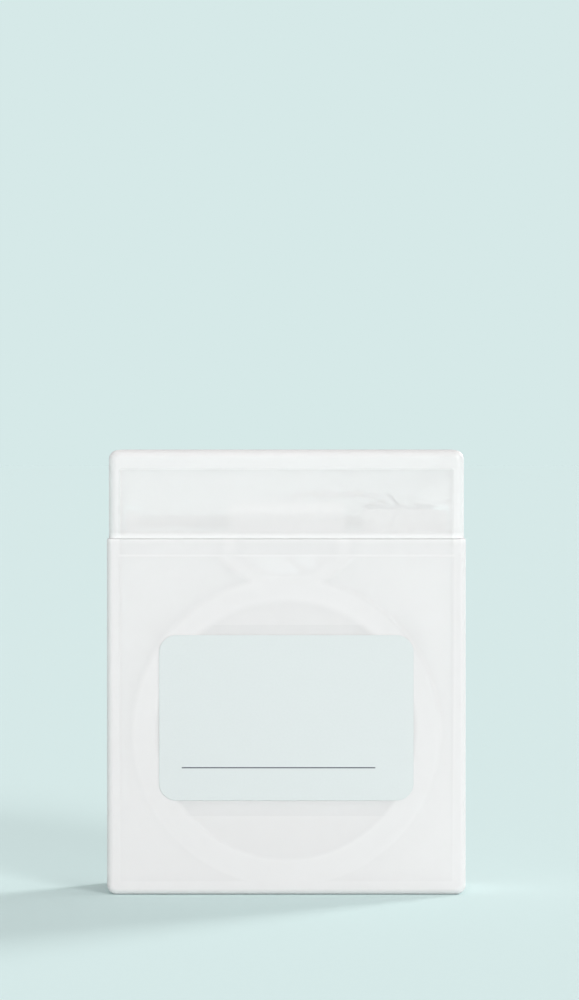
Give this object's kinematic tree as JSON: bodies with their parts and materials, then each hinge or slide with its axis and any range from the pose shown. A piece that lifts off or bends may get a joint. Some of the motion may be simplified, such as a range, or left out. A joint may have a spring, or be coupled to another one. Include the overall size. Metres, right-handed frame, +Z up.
{
  "type": "dental floss dispenser",
  "caption": "Pocket dental floss dispenser: translucent case, flip lid with cutter and outlet tower, and a refillable floss spool behind a hinged rear door.",
  "frame": {"origin": "middle of the base, on the surface that the case stands on", "axes": "+Z up through the lid, -Y out of the front with the label, +X to the right as seen from the front"},
  "size_m": [0.046, 0.0172, 0.057],
  "materials": {
    "case_plastic": "translucent moulded polypropylene, satin",
    "lid_plastic": "translucent moulded polypropylene, satin",
    "deck_plastic": "white moulded polypropylene",
    "hub_plastic": "white moulded plastic",
    "cutter_steel": "stamped stainless steel",
    "pin_steel": "drawn steel wire",
    "floss": "waxed white multifilament",
    "label_film": "pale mint film, satin, bare"
  },
  "bodies": {
    "case": {"body_shell": "case_plastic", "deck": "deck_plastic", "lid_hinge_pin": "pin_steel", "cutter": "cutter_steel", "cutter_stakes": "deck_plastic", "spool_post": "deck_plastic", "floss_strand": "floss", "door_hinge_pin": "pin_steel", "front_label": "label_film"},
    "lid": {"lid": "lid_plastic"},
    "door": {"rear_door": "case_plastic", "rear_label": "label_film"},
    "spool": {"spool_hub": "hub_plastic", "floss_core": "floss", "floss_winding": "floss"}
  },
  "joints": [
    {"name": "lid_hinge", "type": "hinge", "parent": "case", "child": "lid", "pos_m": [0, 0.0069, 0.0476], "axis": [-1, 0, 0], "range_deg": [0, 95]},
    {"name": "door_hinge", "type": "hinge", "parent": "case", "child": "door", "pos_m": [0, 0.0072, 0.0031], "axis": [-1, 0, 0], "range_deg": [0, 90]},
    {"name": "spool_spin", "type": "hinge", "parent": "case", "child": "spool", "pos_m": [0, 0, 0.021], "axis": [0, 1, 0], "continuous": true}
  ]
}
